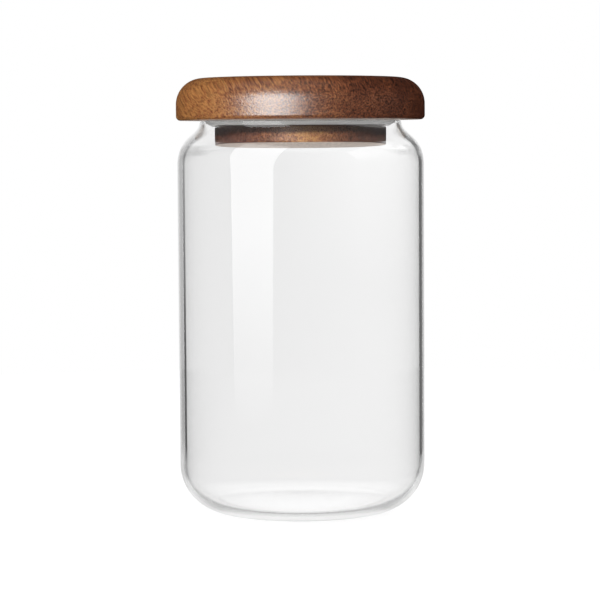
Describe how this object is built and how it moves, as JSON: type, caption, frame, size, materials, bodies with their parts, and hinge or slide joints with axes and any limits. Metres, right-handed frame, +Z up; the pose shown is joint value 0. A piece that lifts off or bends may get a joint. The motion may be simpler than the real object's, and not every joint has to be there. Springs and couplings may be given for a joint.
{
  "type": "glass jar",
  "caption": "Round clear glass storage jar with a drawn-in shoulder and a turned wooden stopper lid that carries a silicone seal ring.",
  "frame": {"origin": "centre of the base, on the surface that the jar stands on", "axes": "+Z up along the axis of the jar and lid; the jar is round, so +X and +Y are free"},
  "size_m": [0.1006, 0.1006, 0.1758],
  "materials": {
    "clear_glass": "clear, polished",
    "cap_wood": "oiled acacia, satin",
    "plug_wood": "oiled acacia, satin",
    "silicone": "translucent, smooth"
  },
  "bodies": {
    "jar": {"glass_jar": "clear_glass"},
    "seal": {"seal_ring": "silicone"},
    "lid": {"lid_cap": "cap_wood", "lid_plug": "plug_wood"}
  },
  "joints": [
    {"name": "lid_lift", "type": "slide", "parent": "jar", "child": "seal", "axis": [0, 0, 1], "range_m": [0, 0.028]},
    {"name": "lid_turn", "type": "hinge", "parent": "seal", "child": "lid", "pos_m": [0, 0, 0.1588], "axis": [0, 0, 1], "continuous": true}
  ]
}
